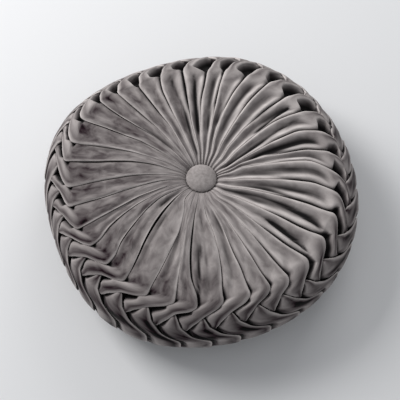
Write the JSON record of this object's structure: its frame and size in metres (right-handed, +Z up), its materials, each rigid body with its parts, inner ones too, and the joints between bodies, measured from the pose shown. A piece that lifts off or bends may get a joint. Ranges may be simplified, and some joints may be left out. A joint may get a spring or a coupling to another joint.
{
  "type": "round pleated cushion",
  "caption": "Round filled cushion in velvet with knife pleats fanning from a covered centre button and a plaited, smocked side.",
  "frame": {"origin": "on the surface that the cushion rests on, under the middle of its outline", "axes": "+Z up out of the face with the button; the cushion is round, so +X and +Y only fix which pleat comes first, counted anticlockwise from +X"},
  "size_m": [0.3804, 0.378, 0.0996],
  "materials": {
    "cover_velvet": "grey-taupe velvet with a crushed nap, dark in the folds and light along their edges",
    "button_velvet": "the same velvet, drawn smooth over a button"
  },
  "bodies": {
    "root": {"cushion": "cover_velvet", "centre_button": "button_velvet"}
  },
  "joints": []
}
